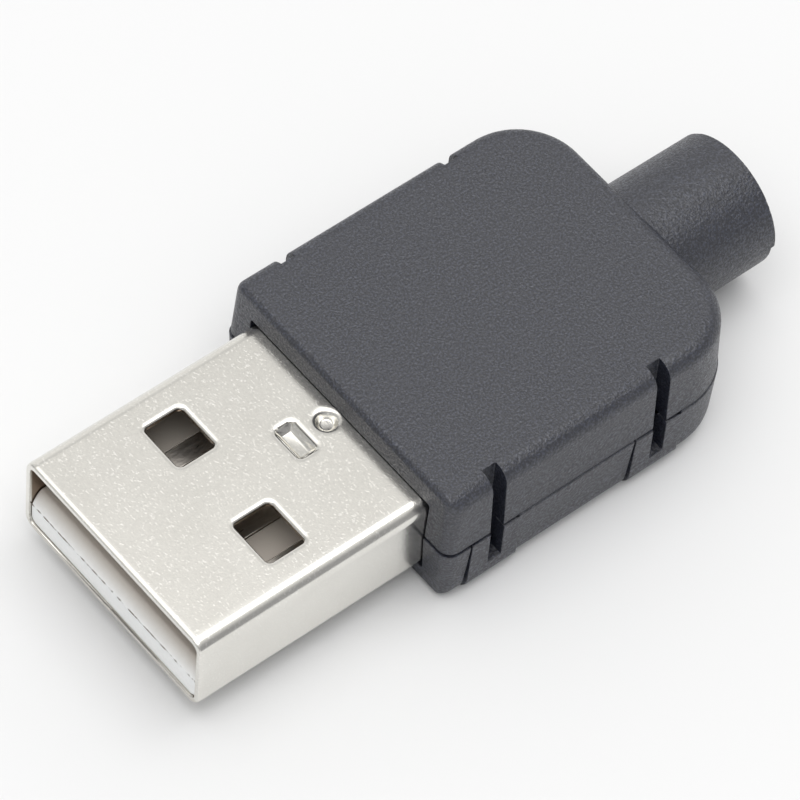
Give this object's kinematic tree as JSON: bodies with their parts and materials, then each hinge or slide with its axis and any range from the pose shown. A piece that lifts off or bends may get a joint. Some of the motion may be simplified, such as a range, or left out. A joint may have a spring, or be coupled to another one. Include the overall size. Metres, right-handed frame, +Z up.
{
  "type": "usb-a plug",
  "caption": "Solder-type board-and-cable plug: folded metal shell with white tongue and contacts, held in a dark snap-together cover with a round cable collar.",
  "frame": {"origin": "under the middle of the whole part, on the surface that the cover lies on", "axes": "+X runs from the metal mating end towards the cable end, +Z up from the flat underside"},
  "size_m": [0.0342, 0.0154, 0.007],
  "materials": {
    "shell_metal": "satin nickel plating on folded sheet",
    "white_plastic": "plain moulded",
    "contact_metal": "thin gold plating",
    "cover_plastic": "fine spark-eroded grain"
  },
  "bodies": {
    "root": {"plug_shell": "shell_metal", "insulator": "white_plastic", "contact_power": "contact_metal", "contact_data_minus": "contact_metal", "contact_data_plus": "contact_metal", "contact_ground": "contact_metal", "bottom_cover": "cover_plastic", "top_cover": "cover_plastic"}
  },
  "joints": []
}
